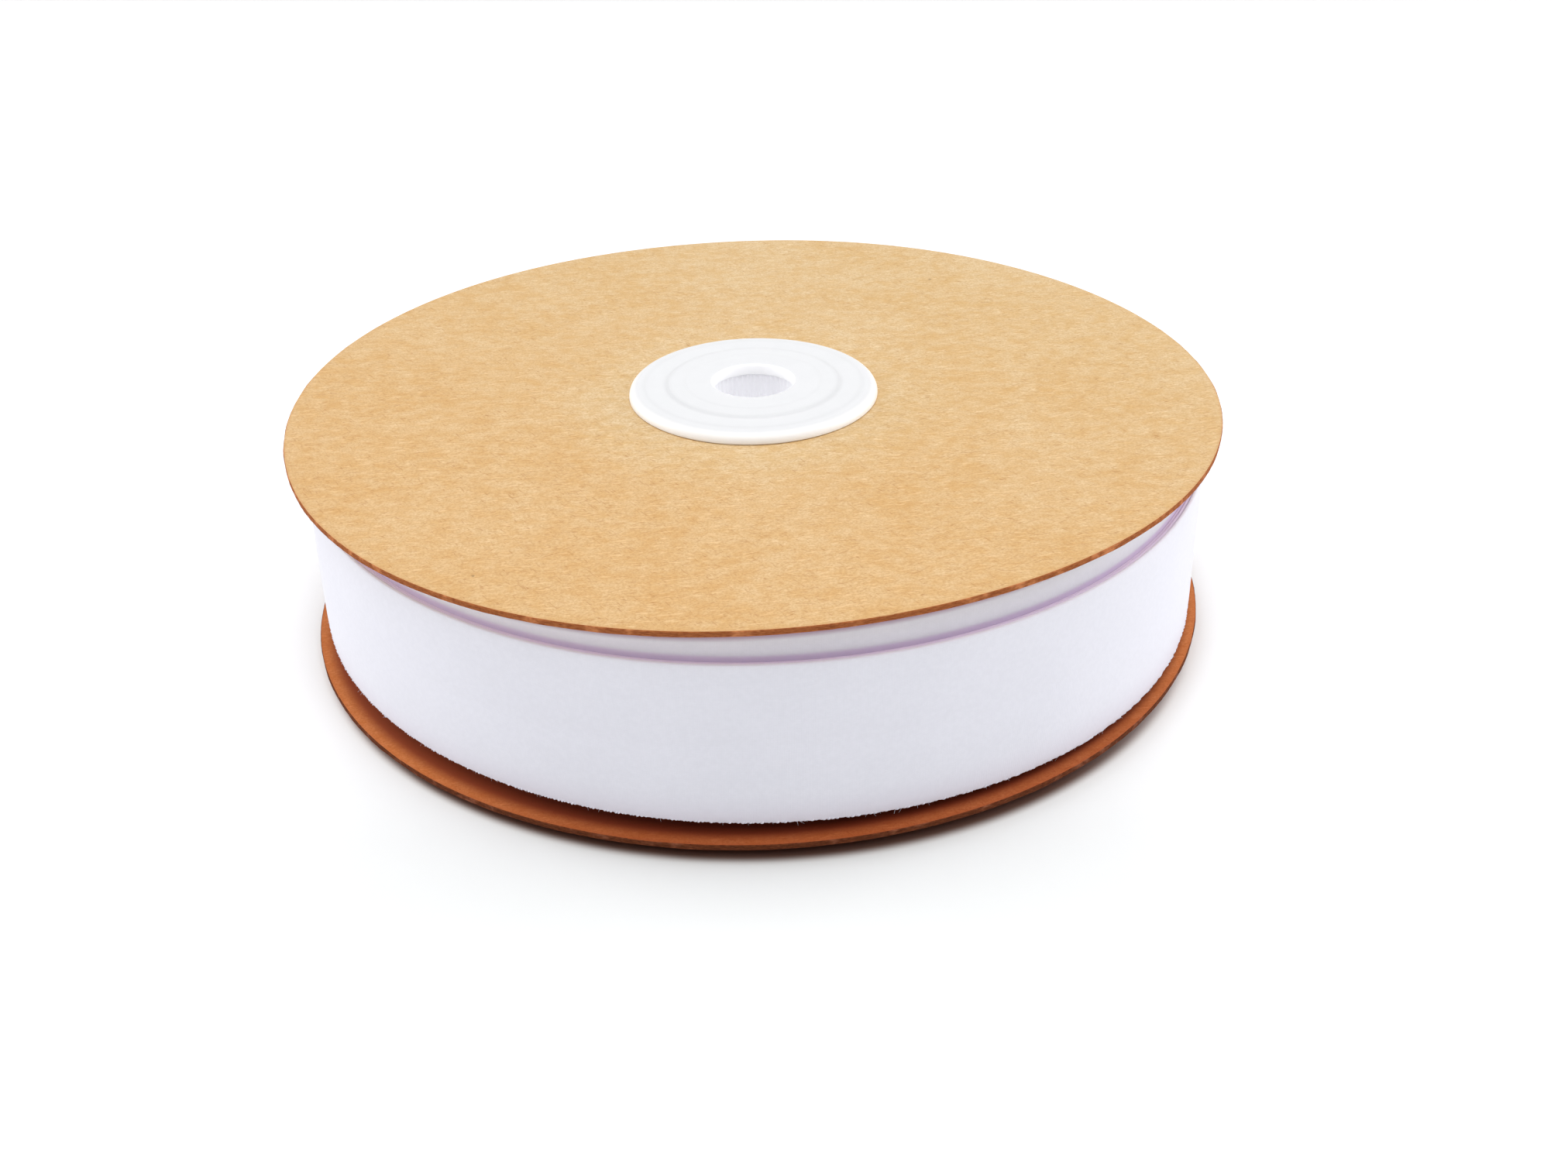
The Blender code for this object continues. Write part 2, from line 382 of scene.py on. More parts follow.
def wander(turn, every, seed):
    """A smooth random value along the tape, from 0 to 1, with a new draw every so many turns."""
    draw = np.random.default_rng(seed).uniform(0.0, 1.0, int(TURNS / every) + 4)
    at = turn / every
    low = np.floor(at).astype(int)
    share = at - low
    blend = share * share * (3.0 - 2.0 * share)
    return draw[low] * (1.0 - blend) + draw[low + 1] * blend


def tape_path(turn):
    """Angle, radius of the strip's middle, and heights of its two edges, at each count of turns."""
    angle = END_ANGLE + 2.0 * math.pi * (turn - TURNS)
    radius = FIRST_RADIUS + TURN_PITCH * turn
    out = radius / OUTER_RADIUS
    radius = radius + 0.07 * MM * uneven(angle, (2, 7), seed=5) * out ** 2
    x, y = radius * np.cos(angle), radius * np.sin(angle)

    high_top = HIGH_TOP + card_lift(x, y, TOP_BEND) - HIGH_TOP_SPREAD * wander(turn, 0.8, seed=7)
    high_base = high_top - TAPE_WIDTH
    low_base = LAST_BASE + (BASE_LEAN_X * x + BASE_LEAN_Y * y) / OUTER_RADIUS
    low_top = LAST_BASE + TAPE_WIDTH + FRONT_DIP * np.minimum(0.0, y) / OUTER_RADIUS
    low_top = low_top - STEP_DOWN * np.clip(TURNS - turn - 0.65, 0.0, 2.2)
    drop = np.clip((turn - (TURNS - LAST_TURNS)) / DROP_TURNS + 0.5, 0.0, 1.0)
    drop = drop * drop * (3.0 - 2.0 * drop)
    base = high_base * (1.0 - drop) + low_base * drop
    top = high_top * (1.0 - drop) + low_top * drop
    return angle, radius, base, top, drop


about_long = math.pi * TURNS * (OUTER_RADIUS + FIRST_RADIUS)
print("turns:", round(TURNS, 1), "length of tape: about", round(about_long, 2), "m")

# %% [markdown]
# The section is worked out flat: a path through the middle of the cloth, from one raw edge round a fold,
# up the face, round the other fold and back to the second raw edge. Offsetting it to both sides gives the
# cloth its thickness. Where the raw edges meet, the face sinks in by a hair along its middle.

# %% The tape's folded section
RAW_GAP = 0.03
FACE_PLACES = (0.04, 0.09, 0.15, 0.22, 0.32, 0.42, 0.47, 0.5, 0.53, 0.58, 0.68, 0.78, 0.86, 0.91, 0.94, 0.97)
FLAP_PLACES = (0.35, 0.2, 0.08)


def folded_path(fine):
    """Middle of the cloth, as (share of the width, place across the fold) with its normal."""
    fold = FOLD_HALF - 0.5 * CLOTH
    fold_points = 5 if fine else 2
    face_points = FACE_PLACES if fine else ()
    flap_points = FLAP_PLACES if fine else ()
    path = [(0.5 - 0.5 * RAW_GAP, -fold, 0.0, 1.0)]
    path += [(t, -fold, 0.0, 1.0) for t in flap_points]
    for a in np.radians(np.linspace(-90, -270, fold_points)) if fine else np.radians([-120, -240]):
        path.append((0.0, fold * math.sin(a), math.cos(a), -math.sin(a)))
    path += [(t, fold, 0.0, -1.0) for t in face_points]
    for a in np.radians(np.linspace(90, -90, fold_points)) if fine else np.radians([60, -60]):
        path.append((1.0, fold * math.sin(a), math.cos(a), -math.sin(a)))
    path += [(1.0 - t, -fold, 0.0, 1.0) for t in reversed(flap_points)]
    path.append((0.5 + 0.5 * RAW_GAP, -fold, 0.0, 1.0))
    return np.array(path)


fine_points, coarse_points = 2 * len(folded_path(True)), 2 * len(folded_path(False))
print("points in the fine section:", fine_points, "and in the coarse one:", coarse_points)

# %% [markdown]
# The strip is then wound. The last few turns get a fine section and many steps, because their face fills the
# front of the picture. The long inner stretch gets a plain one, because only its edges can be seen, deep
# between the cards. Both are the same tape.

# %% Wind the tape
FACE_SINK = 0.10 * MM
FOOT_TUCK = 0.10 * MM
FOOT_SHARE = 0.12
RIGHT_FOOT_OUT = 0.25 * MM
TOP_IN_LEFT = 0.80 * MM
TOP_IN_RIGHT = 0.40 * MM
HEAD_LEAN = 0.30 * MM
HEAD_SHARE = 0.10


def outer_weight(radius):
    """Near 0 for the turns deep inside, and 1 at the outermost."""
    return (radius / OUTER_RADIUS) ** 6


def facing(angle):
    """How much a place faces right and left, each from 0 to 1."""
    return np.maximum(0.0, np.cos(angle)) ** 2, np.maximum(0.0, -np.cos(angle)) ** 2


def wound(name, first_turn, last_turn, steps_per_turn, fine):
    """A stretch of the tape, wound from one count of turns to another."""
    count = int(round((last_turn - first_turn) * steps_per_turn)) + 1
    turn = np.linspace(first_turn, last_turn, count)[:, None]
    angle, radius, base, top, drop = tape_path(turn)
    path = folded_path(fine)
    share, across, normal_up, normal_in = (path[:, k][None, :] for k in range(4))

    height = base + FOLD_HALF + share * (top - base - 2.0 * FOLD_HALF)
    end = np.where(share == 0.0, -1.0, 0.0) + np.where(share == 1.0, 1.0, 0.0)
    fold = FOLD_HALF - 0.5 * CLOTH
    height = height + end * np.abs(normal_up) * fold
    offset = across + 0.0 * angle
    sink = np.exp(-((share - 0.5) / 0.035) ** 2)
    tuck = np.clip(1.0 - share / FOOT_SHARE, 0.0, 1.0) ** 2 * drop
    lean = np.clip(1.0 - (1.0 - share) / HEAD_SHARE, 0.0, 1.0) ** 1.5 * (1.0 - drop) * outer_weight(radius)
    offset = offset - FACE_SINK * sink * (across > 0) - FOOT_TUCK * tuck - HEAD_LEAN * lean
    to_right, to_left = facing(angle)
    slump = share ** 1.3 * (TOP_IN_LEFT * to_left + TOP_IN_RIGHT * to_right)
    slump = slump - (1.0 - share) ** 2 * RIGHT_FOOT_OUT * to_right
    offset = offset - slump * outer_weight(radius)

    rings = []
    for side in (0.5, -0.5):
        out_z = end * np.abs(normal_up) * side * CLOTH
        out_r = np.where(end == 0.0, -normal_in, across / fold) * side * CLOTH
        r = radius + offset + out_r
        z = height + out_z
        points = np.stack([r * np.cos(angle), r * np.sin(angle), z], axis=-1)
        rings.append(points if side > 0 else points[:, ::-1])
    piece = skin(name, np.concatenate(rings, axis=1)[:, ::-1], closed=False)
    soften(piece, sharp_deg=60.0)
    x, y = radius * np.cos(angle), radius * np.sin(angle)
    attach(piece, "root")
    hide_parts("tape_winding")
    return piece


FINE_TURNS = 4.5
FINE_STEPS = 300
COARSE_STEPS = 48
inner_tape = wound("tape_inner_turns", 0.0, TURNS - FINE_TURNS, COARSE_STEPS, fine=False)
outer_tape = wound("tape_last_turns", TURNS - FINE_TURNS, TURNS, FINE_STEPS, fine=True)

# %% [markdown]
# ## Threads at the lower fold
# Where bias-cut cloth folds, its threads cross the fold at 45 degrees. Each one shows as a tiny bump, and a
# few broken ones stand out as fuzz. A bump in the finish would leave the fold's outline smooth, and it is
# seen against the dark card below. So each thread is a short tube bent round the outermost fold, and each
# broken one a thin bent hair that starts inside the cloth. The threads are one joined mesh, and the hairs
# another.

# %% Places round the lower fold
FOLD_THREAD_SPACING = 0.50 * MM
FOLD_THREAD_RADIUS = 0.12 * MM
THREAD_BEND = np.radians(np.linspace(15.0, -120.0, 6))
THREAD_RISE = (-0.09 * MM, 0.05 * MM)
THREAD_END_SUNK = 0.13 * MM
FUZZ_COUNT = 260
FUZZ_LENGTH = (0.20 * MM, 0.65 * MM)
FUZZ_RADIUS = 0.022 * MM
TUBE_SIDES = 4


def lower_fold(angle):
    """Radius and height of the outermost turn's lower fold, at each angle round the axis."""
    turn = TURNS - ((END_ANGLE - angle) / (2.0 * math.pi)) % 1.0
    _, radius, base, _, _ = tape_path(turn)
    to_right, _ = facing(angle)
    radius = radius - FOOT_TUCK + RIGHT_FOOT_OUT * to_right * outer_weight(radius)
    return radius, base + FOLD_HALF


def round_fold(angle, along, reach, bend):
    """Points about the lower fold, as (tube, point, xyz). along is the way from the angle along the tape,
    reach the distance from the fold's middle, and bend its direction: 0 is outward, -90 degrees down."""
    place = angle + along / OUTER_RADIUS
    radius, height = lower_fold(place)
    radius = radius + reach * np.cos(bend)
    return np.stack([radius * np.cos(place), radius * np.sin(place), height + reach * np.sin(bend)], axis=-1)


fold_radius, fold_height = lower_fold(np.radians(-90.0))
print("lower fold in front: radius", round(fold_radius / MM, 2), "height", round(fold_height / MM, 2), "mm")

# %% [markdown]
# Many small tubes are quickest as one mesh. Each gets a ring of four points at each of its own points, square
# to the way it runs, and the faces of all tubes come from one array of point numbers.

# %% Many tubes as one mesh
def many_tubes(name, middles, thickness):
    """One mesh of short closed tubes, from an array of (tube, point, xyz) and the radius at each point."""
    tubes, points = middles.shape[:2]
    ahead = np.gradient(middles, axis=1)
    ahead = ahead / np.linalg.norm(ahead, axis=-1, keepdims=True)
    outward = middles * (1.0, 1.0, 0.0)
    across = np.cross(ahead, outward / np.linalg.norm(outward, axis=-1, keepdims=True) + (0.0, 0.0, 0.35))
    across = across / np.linalg.norm(across, axis=-1, keepdims=True)
    other = np.cross(ahead, across)
    turn = 2.0 * math.pi * np.arange(TUBE_SIDES) / TUBE_SIDES
    around = across[:, :, None] * np.cos(turn)[:, None] + other[:, :, None] * np.sin(turn)[:, None]
    verts = middles[:, :, None] + around * thickness[:, :, None, None]
    index = np.arange(tubes * points * TUBE_SIDES).reshape(tubes, points, TUBE_SIDES)
    here, beyond = index[:, :-1], index[:, 1:]
    walls = np.stack([here, np.roll(here, -1, axis=2), np.roll(beyond, -1, axis=2), beyond], axis=-1)
    faces = walls.reshape(-1, 4).tolist() + index[:, 0, ::-1].tolist() + index[:, -1].tolist()
    mesh = bpy.data.meshes.new(name)
    mesh.from_pydata(verts.reshape(-1, 3).tolist(), [], faces)
    mesh.shade_smooth()
    piece = bpy.data.objects.new(name, mesh)
    bpy.context.scene.collection.objects.link(piece)
    return piece


print("a tube's wall has", TUBE_SIDES, "sides")

# %% [markdown]
# A thread crosses the fold at 45 degrees, so it runs along the tape as far as it bends round. Its ends dip
# below the cloth. Each one stands up by its own small amount, which gives the fold its tiny jags. A broken
# one starts inside the fold and hangs mostly down, a little bent and a little sideways.

# %% Threads and fuzz
def crossing_threads(draw):
    """Middles and radii of the threads that are bent round the fold."""
    count = int(2.0 * math.pi * OUTER_RADIUS / FOLD_THREAD_SPACING)
    angle = 2.0 * math.pi * (np.arange(count) + draw.uniform(-0.25, 0.25, count)) / count
    at_end = (THREAD_BEND > THREAD_BEND[1]) | (THREAD_BEND < THREAD_BEND[-2])
    reach = FOLD_HALF + draw.uniform(*THREAD_RISE, count)[:, None] - THREAD_END_SUNK * at_end
    middles = round_fold(angle[:, None], FOLD_HALF * THREAD_BEND, reach, THREAD_BEND)
    return middles, FOLD_THREAD_RADIUS * draw.uniform(0.8, 1.15, count)[:, None] + 0.0 * THREAD_BEND


def broken_threads(draw):
    """Middles and radii of the hairs of fuzz, which get thinner to their ends."""
    start = draw.uniform(0.0, 2.0 * math.pi, FUZZ_COUNT)[:, None]
    share = np.linspace(0.0, 1.0, 4)
    long = draw.uniform(*FUZZ_LENGTH, FUZZ_COUNT)[:, None] * share
    down = np.radians(draw.uniform(-112.0, -50.0, FUZZ_COUNT))[:, None]
    curl = draw.normal(0.0, 0.3, FUZZ_COUNT)[:, None] * share ** 2
    sideways = draw.normal(0.0, 0.4, FUZZ_COUNT)[:, None] * long
    middles = round_fold(start, sideways, 0.6 * FOLD_HALF + long, down + curl)
    return middles, FUZZ_RADIUS * (1.0 - 0.55 * share) + 0.0 * start


draw = np.random.default_rng(31)
fold_pieces = []
for name, middles, thickness in (("tape_fold_threads", *crossing_threads(draw)),
                                 ("tape_fold_fuzz", *broken_threads(draw))):
    piece = many_tubes(name, middles, thickness)
    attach(piece, "root")
    fold_pieces.append(piece)
    print(name, len(middles), "tubes,", len(piece.data.polygons), "faces")

# %% [markdown]
# ## Shader maths
# A finish is easier to read as an expression than as a list of links. This small class wraps a socket, so
# that adding or multiplying makes the Math node, and one method makes any other node.

# %% Shader class
class Shade:
    """A shader socket in a material's tree."""

    def __init__(self, tree, socket=None):
        self.tree = tree
        self.socket = socket

    def node(self, kind, settings=None, values=None, out=0):
        """Make a node: its settings are set first, then its sockets' values or links."""
        made = self.tree.nodes.new(kind)
        for key, value in (settings or {}).items():
            if key == "stops":
                ramp = made.color_ramp
                while len(ramp.elements) < len(value):
                    ramp.elements.new(0.5)
                for element, (place, color) in zip(ramp.elements, value):
                    element.position = place
                    element.color = (*color, 1.0)
            else:
                setattr(made, key, value)
        for key, value in (values or {}).items():
            if isinstance(value, Shade):
                self.tree.links.new(value.socket, made.inputs[key])
            else:
                made.inputs[key].default_value = value
        return Shade(self.tree, made.outputs[out])

    def math(self, operation, first, second=0.0):
        return self.node("ShaderNodeMath", {"operation": operation}, {0: first, 1: second})

    def __add__(self, other):
        return self.math("ADD", self, other)

    def __radd__(self, other):
        return self.math("ADD", other, self)

    def __sub__(self, other):
        return self.math("SUBTRACT", self, other)

    def __rsub__(self, other):
        return self.math("SUBTRACT", other, self)

    def __mul__(self, other):
        return self.math("MULTIPLY", self, other)

    def __rmul__(self, other):
        return self.math("MULTIPLY", other, self)

    def __truediv__(self, other):
        return self.math("DIVIDE", self, other)

    def step(self, low, high):
        """0 below low, 1 above high, smooth between."""
        return self.node("ShaderNodeMapRange", {"interpolation_type": "SMOOTHSTEP"},
                         {0: self, 1: low, 2: high})

    def ring(self, centre, width):
        """1 at a centre value, falling smoothly to 0 at a width to either side."""
        return 1.0 - self.math("ABSOLUTE", self - centre).step(0.0, width)

    def mix(self, first, second):
        """A colour between two, with this socket as the factor."""
        first = first if isinstance(first, Shade) else (*first, 1.0)
        second = second if isinstance(second, Shade) else (*second, 1.0)
        return self.node("ShaderNodeMix", {"data_type": "RGBA"}, {0: self, 6: first, 7: second}, out=2)

    def vector(self, operation, first, second=(0.0, 0.0, 0.0), out=0):
        return self.node("ShaderNodeVectorMath", {"operation": operation}, {0: first, 1: second}, out=out)

    def place(self):
        """Each point's place on the roll, in metres."""
        return self.node("ShaderNodeTexCoord", out="Object")

    def axis(self, place, key):
        """One of a place's X, Y and Z."""
        return self.node("ShaderNodeSeparateXYZ", None, {"Vector": place}, out=key)

    def from_axis(self, place):
        """Distance from the roll's axis."""
        return self.vector("LENGTH", self.vector("MULTIPLY", place, (1.0, 1.0, 0.0)), out="Value")

    def noise(self, place, scale, detail=2.0, rough=0.5):
        return self.node("ShaderNodeTexNoise", None,
                         {"Vector": place, "Scale": scale, "Detail": detail, "Roughness": rough})

    def stretched(self, place, turn_deg, stretch):
        """Coordinates turned about Z and squeezed along X, which draws noise out into fibres."""
        turned_place = self.node("ShaderNodeVectorRotate", {"rotation_type": "Z_AXIS"},
                                 {"Vector": place, "Angle": math.radians(turn_deg)})
        return self.vector("MULTIPLY", turned_place, (1.0 / stretch, 1.0, 1.0))


def finish(name, constants):
    """A new material, as (material, its tree as a Shade, its Principled shader), with constants set."""
    material = bpy.data.materials.new(name)
    material.use_nodes = True
    tree = material.node_tree
    shader = tree.nodes["Principled BSDF"]
    for key, value in constants.items():
        shader.inputs[key].default_value = value
    return material, Shade(tree), shader


def feed(shade, shader, key):
    shade.tree.links.new(shade.socket, shader.inputs[key])


def raise_surface(height, shader, strength, distance):
    """A bump from a height between 0 and 1, fed to the shader's normal."""
    bump = height.node("ShaderNodeBump", None, {"Strength": strength, "Distance": distance, "Height": height},
                       out="Normal")
    feed(bump, shader, "Normal")


def tinted(color, tint):
    """A plain colour times a tint."""
    return tuple(c * t for c, t in zip(color, tint))


print("shader class ready")

# %% [markdown]
# ## Kraft board
# Kraft board is unbleached wood pulp. Its colour drifts over centimetres, clouds over a few millimetres
# where the pulp gathers, and carries short fibres, some paler and some darker, lying all ways, with a rare
# dark speck. A picture of board would blur up close, so each is one noise at its own scale, all in real
# metres, and the flecks keep their size on both cards.

# %% Fibres and specks
FIBRE_LAYS = ((5.0, 0.0), (-32.0, 0.31), (54.0, 0.77))
DARK_FIBRE_TINT = (0.70, 0.58, 0.46)
GRAIN_TINT = (0.82, 0.77, 0.68)


def dark_fibres(start, place):
    """Masks of thin strands, added up. Each way that they lie has a turn in degrees and a shift."""
    fibres = None
    for turn_deg, shift in FIBRE_LAYS:
        lain = start.stretched(place, turn_deg, 6.0)
        moved = start.vector("ADD", lain, (0.0, 0.0, shift))
        strand = start.noise(moved, 3600.0, 1.0).step(0.64, 0.74)
        fibres = strand if fibres is None else fibres + strand
    return fibres


def pale_fibres(start, place):
    far = start.vector("ADD", place, (0.5, 0.3, 0.1))
    return start.noise(start.stretched(far, -8.0, 5.0), 3000.0, 1.0).step(0.60, 0.70) * 0.40


def rare_specks(start, place):
    dots = start.node("ShaderNodeTexVoronoi", {"feature": "F1"}, {"Vector": place, "Scale": 150.0},
                      out="Distance")
    rare = start.noise(place, 160.0, 0.0).step(0.62, 0.66)
    return (1.0 - dots.step(0.03, 0.055)) * rare * 0.6


print("fibres lie", len(FIBRE_LAYS), "ways")

# %% [markdown]
# Wear and painted light change the board from place to place. The rim is worn. The top card has a painted
# sheen, paler and cooler from front to back, and is a little cooler near the cap. The lower card has painted
# shade in front, painted light at its sides, and deep painted shade where the tape covers it. These are tints
# by place: the fade runs along a direction, and the rest goes by the distance from the axis.

# %% Tints by place
WORN_TINT = (0.86, 0.70, 0.58)
# Painted shade where the tape covers the lower card
UNDER_TAPE_SHADE_TINT = (0.48, 0.27, 0.22)
NEAR_CAP_TINT = (1.02, 1.09, 1.20)


def tint_card(start, place, color, middle, fade, painted_shade_radius):
    """The board's colour with its worn rim, painted shade under the tape, and painted light and shade along
    the fade.
    """
    reach = start.from_axis(place)
    worn = reach.step(CARD_RADIUS - 0.6 * MM, CARD_RADIUS) * 0.6
    color = worn.mix(color, tinted(middle, WORN_TINT))
    if painted_shade_radius:
        # Painted shade inside the radius that the tape covers
        inside = 1.0 - reach.step(painted_shade_radius - 1.2 * MM, painted_shade_radius + 0.8 * MM)
        color = inside.mix(color, tinted(middle, UNDER_TAPE_SHADE_TINT))
    # Painted light and shade that change along a direction
    toward, low, high, low_tint, high_tint = fade
    direction = tuple(t / CARD_RADIUS for t in toward)
    painted_light_share = start.vector("DOT_PRODUCT", place, direction, out="Value")
    near_cap = 1.0 - reach.step(0.9 * LIP_RADIUS, 1.9 * LIP_RADIUS)
    halfway = tuple(0.5 * (a + b) for a, b in zip(low_tint, high_tint))
    tint = near_cap.mix(painted_light_share.step(low, high).mix(low_tint, high_tint), tinted(halfway, NEAR_CAP_TINT))
    return start.node("ShaderNodeMix", {"data_type": "RGBA", "blend_type": "MULTIPLY"},
                      {0: 1.0, 6: color, 7: tint}, out=2)


print("the board near the cap is tinted", NEAR_CAP_TINT)

# %% [markdown]
# The whole finish puts these on top of each other, from the widest to the finest. Clouds, grain and fibres
# also raise the surface by a hair.

# %% Kraft finish
def kraft_finish(name, middle, cloudy, grainy, gloss, fade, painted_shade_radius=None):
    """Kraft board round a middle colour. cloudy has the shares by which red, green and blue drift, and grainy
    the strength of the fine grain. fade is a direction, the two places along it, in card radii, between which
    painted light and shade change, and a tint for each. covered is a radius, inside which painted shade
    darkens the board."""
    material, start, shader = finish(name, {"Specular IOR Level": gloss})
    place = start.place()
    drift = start.noise(place, 45.0, 2.0).step(0.3, 0.7)
    cloud = start.noise(start.stretched(place, 4.0, 1.35), 450.0, 3.0, 0.65).step(0.28, 0.72)
    tone = drift * 0.3 + cloud * 0.7
    deep = [c * (1.0 - share) for c, share in zip(middle, cloudy)]
    pale = [c * (1.0 + share) for c, share in zip(middle, cloudy)]
    color = tone.mix(deep, pale)

    grain = start.noise(place, 3100.0, 2.0, 0.65).step(0.3, 0.7)
    color = (grain * grainy).mix(color, tinted(deep, GRAIN_TINT))
    fibres = dark_fibres(start, place)
    color = (fibres * 0.46).mix(color, tinted(deep, DARK_FIBRE_TINT))
    color = pale_fibres(start, place).mix(color, tuple(min(1.0, 1.18 * c) for c in pale))
    color = rare_specks(start, place).mix(color, tuple(0.35 * c for c in deep))
    feed(tint_card(start, place, color, middle, fade, painted_shade_radius), shader, "Base Color")

    relief = cloud * 0.25 + grain * 0.5 + fibres * 0.25
    raise_surface(relief, shader, 0.3, 0.03 * MM)
    feed(0.66 + (1.0 - gloss) * 0.2 - tone * 0.08, shader, "Roughness")
    return material


KRAFT_CLOUDS = (0.06, 0.155, 0.33)
# Painted sheen: the top card paler and cooler towards the back. Painted shade in front of the lower card,
# painted light at its sides.
PAINTED_LIGHT_FADE_TOP = ((0.45, 0.9, 0.0), -1.0, 1.0, (0.985, 0.94, 0.86), (1.0, 1.06, 1.12))
PAINTED_LIGHT_FADE_BELOW = ((-0.25, 1.0, 0.0), -1.0, -0.5, (0.80, 0.66, 0.60), (1.20, 1.26, 1.24))
kraft_top = kraft_finish("kraft_board", (0.645, 0.436, 0.220), KRAFT_CLOUDS, 0.60, 0.5, PAINTED_LIGHT_FADE_TOP)
kraft_below = kraft_finish("kraft_board_below", (0.48, 0.145, 0.041), KRAFT_CLOUDS, 0.65, 0.25, PAINTED_LIGHT_FADE_BELOW,
                           painted_shade_radius=OUTER_RADIUS)
print("kraft finishes made")

# %% [markdown]
# The punched wall of a card is darker than its faces, because the cut ends of the fibres soak up light. It
# is a second finish on the rim's faces alone, with fine streaks along the plies and pale scuffs from wear.

# %% Card edge finish
def edge_finish(name, pale, deep):
    material, start, shader = finish(name, {"Roughness": 0.95, "Specular IOR Level": 0.15})
    place = start.place()
    flat = start.vector("MULTIPLY", place, (1.0, 1.0, 4.0))
    streak = start.noise(flat, 1500.0, 3.0, 0.6).step(0.3, 0.7)
    scuff = start.noise(start.stretched(place, 0.0, 1.6), 420.0, 3.0, 0.7).step(0.50, 0.68) * 0.32
    scuffed = tuple(min(1.0, 2.6 * c + 0.06) for c in pale)
    feed(scuff.mix(streak.mix(deep, pale), scuffed), shader, "Base Color")
    raise_surface(streak, shader, 0.4, 0.03 * MM)
    return material


def dress_card(card, faces_finish, rim_finish):
    card.data.materials.append(faces_finish)
    card.data.materials.append(rim_finish)
    for face in card.data.polygons:
        at_rim = math.hypot(face.center.x, face.center.y) > CARD_RADIUS - 0.09 * MM
        face.material_index = 1 if at_rim else 0


edge_top = edge_finish("card_edge", (0.41, 0.137, 0.044), (0.26, 0.072, 0.022))
edge_below = edge_finish("card_edge_below", (0.16, 0.043, 0.014), (0.085, 0.021, 0.007))
dress_card(top_card, kraft_top, edge_top)
dress_card(lower_card, kraft_below, edge_below)
print("cards dressed")

# %% [markdown]
# ## White plastic
# The hub and cap are satin polypropylene, which lets a little light in. A small subsurface share gives that
# soft milky look, and a faint noise keeps the gloss from being even. Where the plastic is thin or rounded, at
# the bore and the lip, light comes through it: painted light there, a paler colour and a small glow, stands
# in for that, most at the bore's far side. Soft rings of painted shade mark the steps on the cap. What
# doesn't vary over a piece, such as the index of refraction, is set on the shader itself.

# %% Plastic finish
# Paler colours of painted light where the plastic is thin or rounded, at the bore and the lip
BORE_LIGHT_COLOR = (0.94, 0.94, 0.945)
LIP_LIGHT_COLOR = (0.93, 0.93, 0.93)


def plastic_finish(name, color, glow, rings=(), bright=()):
    """Satin white plastic, with a faint glow of painted light on the bore's wall. rings are (radius, width,
    darkening) for soft lines of painted shade round the axis, and bright is (radius in, radius out): outside
    the two, the plastic is thin or rounded, and painted light makes it paler and makes it glow."""
    material, start, shader = finish(name, {
        "Subsurface Weight": 0.35, "Subsurface Scale": 0.0012, "Subsurface Radius": (1.0, 0.97, 1.0),
        "IOR": 1.49, "Specular IOR Level": 0.5})
    place = start.place()
    haze = start.noise(place, 220.0, 3.0).step(0.3, 0.7)
    shade = haze.mix(color, tuple(c * 0.985 for c in color))
    reach = start.from_axis(place)
    for radius, width, dark in rings:
        shade = (reach.ring(radius, width) * dark).mix(shade, (0.0, 0.0, 0.0))
    # Painted light: a glow on the bore's wall, and with bright, at the bore's rim and the lip
    glowing = 1.0 - reach.step(BORE_RADIUS - 0.2 * MM, BORE_RADIUS + 0.5 * MM)
    if bright:
        bore_in, lip_out = bright
        at_bore = 1.0 - reach.step(bore_in, bore_in + 0.32 * MM)
        at_lip = reach.step(lip_out - 1.3 * MM, lip_out)
        shade = at_lip.mix(at_bore.mix(shade, BORE_LIGHT_COLOR), LIP_LIGHT_COLOR)
        y = start.axis(place, "Y")
        glowing = at_bore * (0.5 + 0.6 * y.step(-4.0 * MM, 3.0 * MM)) + at_lip * 0.3
    shader.inputs["Emission Strength"].default_value = glow
    feed(glowing.mix((0.0, 0.0, 0.0), (1.0, 1.0, 1.0)), shader, "Emission Color")
    feed(shade, shader, "Base Color")
    scuff = start.noise(start.stretched(place, 20.0, 12.0), 1600.0, 2.0).step(0.55, 0.8)
    feed(haze * 0.06 + scuff * 0.12 + 0.32, shader, "Roughness")
    raise_surface(start.noise(place, 3000.0, 1.0), shader, 0.08, 0.02 * MM)
    return material


# Soft rings of painted shade at the cap's steps, as radius, width and darkening
CAP_SHADE_RINGS = ((10.4 * MM, 0.6 * MM, 0.015), (13.2 * MM, 0.9 * MM, 0.06), (16.7 * MM, 0.8 * MM, 0.03))
hub_plastic = plastic_finish("hub_plastic", (0.94, 0.935, 0.975), 0.08)
cap_plastic = plastic_finish("cap_plastic", (0.725, 0.73, 0.74), 0.20, CAP_SHADE_RINGS,
                             (CAP_BORE_RADIUS, LIP_RADIUS))
for piece, plastic, slot in ((hub, hub_plastic, "hub_plastic"), (cap, cap_plastic, "cap_plastic")):
    piece.data.materials.append(plastic)
print("plastic finishes made")

# %% [markdown]
# ## Bias-cut cloth
# The cloth is a fine plain weave. Because the strip is cut on the bias, its threads cross the tape at 45
# degrees both ways. A flat pattern would need the wound strip to be unrolled, so the weave is worked out from
# the place on the roll: the angle round the axis times the radius gives the distance along the tape, and Z
# gives the distance across. Two crossed waves at the thread pitch make the threads.

# %% Weave
THREAD_PITCH = 0.30 * MM


